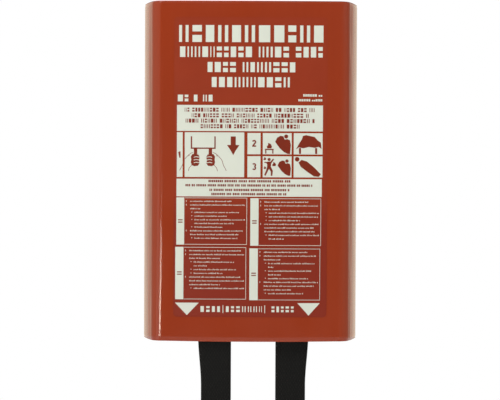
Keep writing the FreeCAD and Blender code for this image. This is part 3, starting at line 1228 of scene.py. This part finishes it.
def edge_distance(flat, low, high):
    """How far each place on a flat sheet is from the sheet's nearest edge."""
    across = np.minimum(flat[..., 0] - low[0], high[0] - flat[..., 0])
    along = np.minimum(flat[..., 1] - low[1], high[1] - flat[..., 1])
    return np.minimum(across, along)


def glass_sheet(name, points, flat, thickness):
    """A piece of glass cloth from its middle surface, with its flat shape as the UV map."""
    vertices, faces = closed_grid(points, grid_normals(points), thickness)
    made = make_object(name, vertices, faces, GLASS_CLOTH, 60)
    turn_faces_out(made.data)
    set_uv(made, np.vstack([flat.reshape(-1, 2)] * 2))
    return made


def make_blanket():
    """One square of glass cloth, folded as it is packed."""
    points, flat = cloth_points()
    edge = edge_distance(flat, (0.0, 0.0), (CLOTH_SIDE, CLOTH_SIDE))
    hem = smooth_step((HEM_WIDTH - edge) / (1.5 * MM))
    thickness = CLOTH_THICKNESS + (HEM_THICKNESS - CLOTH_THICKNESS) * hem
    cloth = glass_sheet("folded_blanket", points, flat, thickness)
    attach(cloth, "blanket")
    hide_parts("blanket_pack")


def make_patch(side):
    """The square of cloth that backs a strap's sewn end."""
    low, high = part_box(f"corner_patch_{side}")
    count = 23
    points = np.zeros((count, count, 3))
    flat = np.zeros((count, count, 2))
    for i, x in enumerate(np.linspace(low.x, high.x, count)):
        for j, z in enumerate(np.linspace(low.z, high.z, count)):
            wave = 0.06 * MM * waves(x * 160.0, z * 160.0, 5.0)
            points[i, j] = (x, (low.y + high.y) / 2 + wave, z)
            flat[i, j] = (x, z)
    edge = edge_distance(flat, (low.x, low.z), (high.x, high.z))
    pressed = smooth_step(edge / (0.6 * MM))
    thickness = PATCH_THICKNESS * (0.6 + 0.4 * pressed)
    patch = glass_sheet(f"{side}_corner_patch", points, flat, thickness)
    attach(patch, "blanket")
    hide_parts(f"corner_patch_{side}")


# ---------------------------------------------------------------- pull straps

def strap_line(side):
    """The strap's middle line from its sewn end down, and round its doubled end."""
    anchor_low, anchor_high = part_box(f"strap_anchor_{side}")
    strap_low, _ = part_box(f"pull_strap_{side}")
    depth = (anchor_low.y + anchor_high.y) / 2
    radius = STRAP_THICKNESS / 2 + FOLD_GAP
    low = strap_low.z + STRAP_THICKNESS / 2 + radius
    doubled = strap_low.z + STRAP_DOUBLED
    rows = []
    for z in np.arange(anchor_high.z, low, -STRAP_STEP):
        shift = radius * smooth_step((doubled + 7 * MM - z) / (7 * MM))
        rows.append((depth - shift, z))
    for turn in np.linspace(0, math.pi, 11):
        rows.append((depth - radius * math.cos(turn), low - radius * math.sin(turn)))
    for z in np.arange(low, doubled, STRAP_STEP)[1:]:
        rows.append((depth + radius, z))
    return np.array(rows)


def strap_section():
    """The webbing's cross-section as a loop: across, thickness; with ribbed faces."""
    half = STRAP_WIDTH / 2 - STRAP_THICKNESS / 2
    across = np.linspace(-half, half, 37)
    thick = STRAP_THICKNESS / 2
    ribs = 0.035 * MM * np.cos(np.arange(37) * math.pi)
    selvedge = 0.12 * MM * np.exp(-(half - np.abs(across)) / (0.8 * MM))
    face = thick + ribs - selvedge
    ends = np.radians(np.linspace(70, -70, 6))
    right = np.column_stack([half + thick * np.cos(ends), 0.86 * thick * np.sin(ends)])
    front = np.column_stack([across, face])
    back = np.column_stack([across[::-1], -face[::-1]])
    return np.vstack([front, right, back, -right])


def outer_flare(z):
    """How far the strap's outer edge spreads where it comes out of the mouth."""
    below = smooth_step((z - COVER_LOW.z + 38 * MM) / (44 * MM))
    inside = smooth_step((COVER_LOW.z + 15 * MM - z) / (12 * MM))
    return 2.6 * MM * below * inside


def strap_rings(section, line, lengths, centre, outward):
    """The strap's cross-sections along its line, and their places on the flat strap."""
    tangents = np.gradient(line, axis=0)
    tangents /= np.linalg.norm(tangents, axis=1)[:, None]
    rows, uvs = [], []
    for (y, z), (ty, tz), along in zip(line, tangents, lengths):
        flare = outer_flare(z)
        share = 0.5 + outward * section[:, 0] / STRAP_WIDTH
        x = centre + section[:, 0] + outward * flare * share**2
        pick = 1 + 0.03 * math.sin(along / WEFT_PITCH * 2 * math.pi)
        offset = section[:, 1] * pick
        cup = 0.25 * MM * waves(centre * 40.0, z * 30.0, 2.0)
        cup = cup * (section[:, 0] / STRAP_WIDTH * 2) ** 2
        rows.append(np.column_stack([x, y + tz * (offset + cup), z - ty * (offset + cup)]))
        uvs.append(np.column_stack([section[:, 0] + 0.1, np.full(len(section), along)]))
    return np.vstack(rows), np.vstack(uvs)


def make_strap(side):
    """One length of webbing from its sewn end, through the mouth, to its doubled end."""
    anchor_low, anchor_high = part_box(f"strap_anchor_{side}")
    centre = (anchor_low.x + anchor_high.x) / 2
    line = strap_line(side)
    section = strap_section()
    lengths = np.concatenate([[0.0], np.cumsum(np.linalg.norm(np.diff(line, axis=0), axis=1))])
    outward = -1 if side == "left" else 1
    points, uvs = strap_rings(section, line, lengths, centre, outward)
    faces = ring_faces(len(line), len(section)) + end_faces(len(line), len(section))
    strap = make_object(f"{side}_webbing_strap", points, faces, WEBBING, 50)
    turn_faces_out(strap.data)
    set_uv(strap, uvs)
    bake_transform(strap)
    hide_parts(f"strap_anchor_{side}", f"pull_strap_{side}")
    stitches = make_box_stitch(side, centre)


def stitch_line(start, end, count):
    """Short spans along a line, with a gap between them."""
    start, end = np.array(start), np.array(end)
    edges = np.linspace(0, 1, count + 1)
    return [(start + (end - start) * (a + 0.12 * (b - a)),
             start + (end - start) * (b - 0.12 * (b - a)))
            for a, b in zip(edges, edges[1:])]


def add_stitch(vertices, faces, start, end, y, outward):
    """One stitch: a thread that rises from the webbing and dives back into it."""
    rings, around = 7, 8
    base = len(vertices)
    along = np.array([end[0] - start[0], 0.0, end[1] - start[1]])
    along /= np.linalg.norm(along)
    side = np.array([along[2], 0.0, -along[0]])
    for r in range(rings):
        share = r / (rings - 1)
        hump = math.sin(math.pi * share)
        x = start[0] + (end[0] - start[0]) * share
        z = start[1] + (end[1] - start[1]) * share
        centre = np.array([x, y + outward * (0.26 * hump - 0.16) * MM, z])
        radius = 0.24 * MM * (0.55 + 0.45 * hump)
        for k in range(around):
            turn = 2 * math.pi * k / around
            out = side * math.cos(turn) + np.array([0.0, outward, 0.0]) * math.sin(turn)
            vertices.append(centre + out * radius)
    faces += ring_faces(rings, around, base) + end_faces(rings, around, base)


def make_box_stitch(side, centre):
    """The sewn square and cross that holds a strap's doubled end."""
    strap_low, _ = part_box(f"pull_strap_{side}")
    anchor_low, anchor_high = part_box(f"strap_anchor_{side}")
    depth = (anchor_low.y + anchor_high.y) / 2
    x0, x1 = centre - 9.5 * MM, centre + 9.5 * MM
    z0, z1 = strap_low.z + 3.5 * MM, strap_low.z + STRAP_DOUBLED - 3 * MM
    corners = [(x0, z0), (x1, z0), (x1, z1), (x0, z1)]
    spans = []
    for a, b in zip(corners, corners[1:] + corners[:1]):
        spans += stitch_line(a, b, 7 if a[1] == b[1] else 5)
    for k in (0, 1):
        spans += stitch_line(corners[k], corners[k + 2], 9)
    vertices, faces = [], []
    face = STRAP_THICKNESS + FOLD_GAP
    for outward in (-1, 1):
        for a, b in spans:
            add_stitch(vertices, faces, a, b, depth + outward * face, outward)
    made = make_object(f"{side}_strap_stitching", vertices, faces, THREAD)
    turn_faces_out(made.data)
    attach(made, f"{side}_strap")
    return made


# ---------------------------------------------------------------- studio

def make_camera():
    """Straight at the front, near the case's middle height, tipped down by under a degree."""
    data = bpy.data.cameras.new("camera")
    data.sensor_width = 36.0
    data.lens = 112.96
    data.clip_start = 0.05
    data.clip_end = 50.0
    camera = add_object("camera", data)
    camera.location = CAMERA_PLACE
    camera.rotation_euler = CAMERA_TURN
    bpy.context.scene.camera = camera


def make_softbox(name, location, target, size, power, colour=(1.0, 1.0, 1.0)):
    """A rectangular lamp that faces its target and that the camera doesn't see."""
    data = bpy.data.lights.new(name, "AREA")
    data.shape = "RECTANGLE"
    data.size, data.size_y = size
    data.energy = power
    data.color = colour
    light = add_object(name, data)
    light.location = location
    direction = Vector(target) - Vector(location)
    light.rotation_euler = direction.to_track_quat("-Z", "Z").to_euler()
    light.visible_camera = False
    return light


def reflected_studio(tree):
    """What glossy surfaces mirror: white behind, dark in front, pale at both sides."""
    place = add_node(tree, "ShaderNodeTexCoord")
    split = add_node(tree, "ShaderNodeSeparateXYZ")
    forward = add_node(tree, "ShaderNodeMath", {1: -1.0}, operation="MULTIPLY")
    azimuth = add_node(tree, "ShaderNodeMath", operation="ARCTAN2")
    turn = add_node(tree, "ShaderNodeMapRange", {"From Min": -math.pi, "From Max": math.pi})
    ramp = add_node(tree, "ShaderNodeValToRGB")
    # Degrees to the right of straight ahead of the front, and how bright it is there
    stops = ((-180, 1.20), (-160, 1.10), (-148, 1.10), (-138, 0.60), (-118, 0.50), (-95, 0.60),
             (-45, 0.60), (-35, 0.56), (-30, 0.06), (0, 0.05), (30, 0.20), (60, 0.33),
             (130, 0.33), (139, 0.42), (150, 1.10), (180, 1.20))
    while len(ramp.color_ramp.elements) < len(stops):
        ramp.color_ramp.elements.new(0.5)
    for element, (degrees, level) in zip(ramp.color_ramp.elements, stops):
        element.position = (degrees + 180) / 360
        element.color = (1.05 * level, level, 0.80 * level, 1.0)
    join = tree.links.new
    join(place.outputs["Generated"], split.inputs[0])
    join(split.outputs["Y"], forward.inputs[0])
    join(split.outputs["X"], azimuth.inputs[0])
    join(forward.outputs[0], azimuth.inputs[1])
    join(azimuth.outputs[0], turn.inputs["Value"])
    join(turn.outputs["Result"], ramp.inputs["Fac"])
    return ramp.outputs["Color"]


def make_surroundings():
    """White to the camera, an even soft light, and the studio that gloss mirrors."""
    world = bpy.data.worlds.new("studio")
    bpy.context.scene.world = world
    world.use_nodes = True
    tree = world.node_tree
    tree.nodes.clear()
    seen = add_node(tree, "ShaderNodeLightPath")
    even_light = {6: (AMBIENT, AMBIENT, AMBIENT, 1.0)}
    mirrored = add_node(tree, "ShaderNodeMix", even_light, data_type="RGBA")
    white = {7: (1.0, 1.0, 1.0, 1.0)}
    backdrop = add_node(tree, "ShaderNodeMix", white, data_type="RGBA")
    background = add_node(tree, "ShaderNodeBackground")
    output = add_node(tree, "ShaderNodeOutputWorld")
    join = tree.links.new
    join(seen.outputs["Is Glossy Ray"], mirrored.inputs[0])
    join(reflected_studio(tree), mirrored.inputs[7])
    join(seen.outputs["Is Camera Ray"], backdrop.inputs[0])
    join(mirrored.outputs[2], backdrop.inputs[6])
    join(backdrop.outputs[2], background.inputs["Color"])
    join(background.outputs[0], output.inputs["Surface"])


def floor_paint_and_glow():
    """Pale paint, and a painted glow that brightens it to white towards the floor's rim."""
    shader = Shader("floor_paint_and_glow", Roughness=0.7, Emission_Color=(1.0, 1.0, 1.0, 1.0))
    shader.colour(shader.mixed(shader.noise(4.0), (0.86, 0.86, 0.855), (0.90, 0.90, 0.895)))
    shader.bump(shader.noise(300.0), 0.05, 0.0002)
    # Painted light: the floor glows more and more towards its rim, fading it into white.
    reach = shader.node("ShaderNodeVectorMath", operation="LENGTH")
    shader.join(shader.place, reach.inputs[0])
    glow = shader.span(reach.outputs["Value"], 0.0, 0.65, 0.25 * FLOOR_RADIUS, 0.9 * FLOOR_RADIUS)
    shader.join(glow, shader.surface.inputs["Emission Strength"])
    return shader.material


def make_floor():
    """A plain pale floor well below the straps."""
    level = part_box("pull_strap_left")[0].z - FLOOR_DROP
    rings, around = 14, 72
    vertices = [(0.0, 0.0, level)]
    faces = []
    for r in range(1, rings + 1):
        for k in range(around):
            turn = 2 * math.pi * k / around
            reach = FLOOR_RADIUS * r / rings
            vertices.append((reach * math.cos(turn), reach * math.sin(turn), level))
    for k in range(around):
        faces.append((0, 1 + k, 1 + (k + 1) % around))
    faces += [face[::-1] for face in ring_faces(rings, around, 1)]
    floor = make_object("floor", vertices, faces, floor_paint_and_glow())


def make_studio():
    """Camera, lights, floor and a plain view transform."""
    make_camera()
    make_surroundings()
    make_floor()
    middle = (0.0, -0.03, -0.10)
    corner = (-0.075, -0.03, -0.18)
    make_softbox("overhead", (-0.32, -0.85, 0.85), middle, (1.2, 0.6), 9.0)
    make_softbox("left_panel", (-1.0, -0.72, -0.46), corner, (0.9, 0.5), 0.7)
    make_softbox("left_strip", (-0.56, -1.12, -0.30), corner, (0.40, 0.04), 2.2,
                 (1.0, 0.9, 0.76))
    for name, x, power in (("left_fill", -1.1, 1.8), ("right_fill", 1.1, 3.5)):
        fill = make_softbox(name, (x, -0.35, 0.1), middle, (0.7, 0.7), power)
        fill.visible_glossy = False
    above_floor = (0.0, 0.0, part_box("pull_strap_left")[0].z - 0.2)
    below = make_softbox("floor_light", above_floor, (0.0, 0.0, -2.0), (3.0, 3.0), 16.0)
    below.visible_glossy = False
    view = bpy.context.scene.view_settings
    view.view_transform = "Standard"
    view.look = "None"


make_cover()
softened_copy("top_cap", "case_top_cap", CASE_RED, 0.3 * MM)
softened_copy("back_plate", "case_back_plate", PLATE_RED, 0.3 * MM)
for kind in ("flange_rivets", "cap_rivets"):
    softened_copy(kind, f"case_{kind}", RIVET_METAL, 0.15 * MM)
make_film()
make_print()
make_blanket()
for side in ("left", "right"):
    make_patch(side)
    make_strap(side)
make_studio()
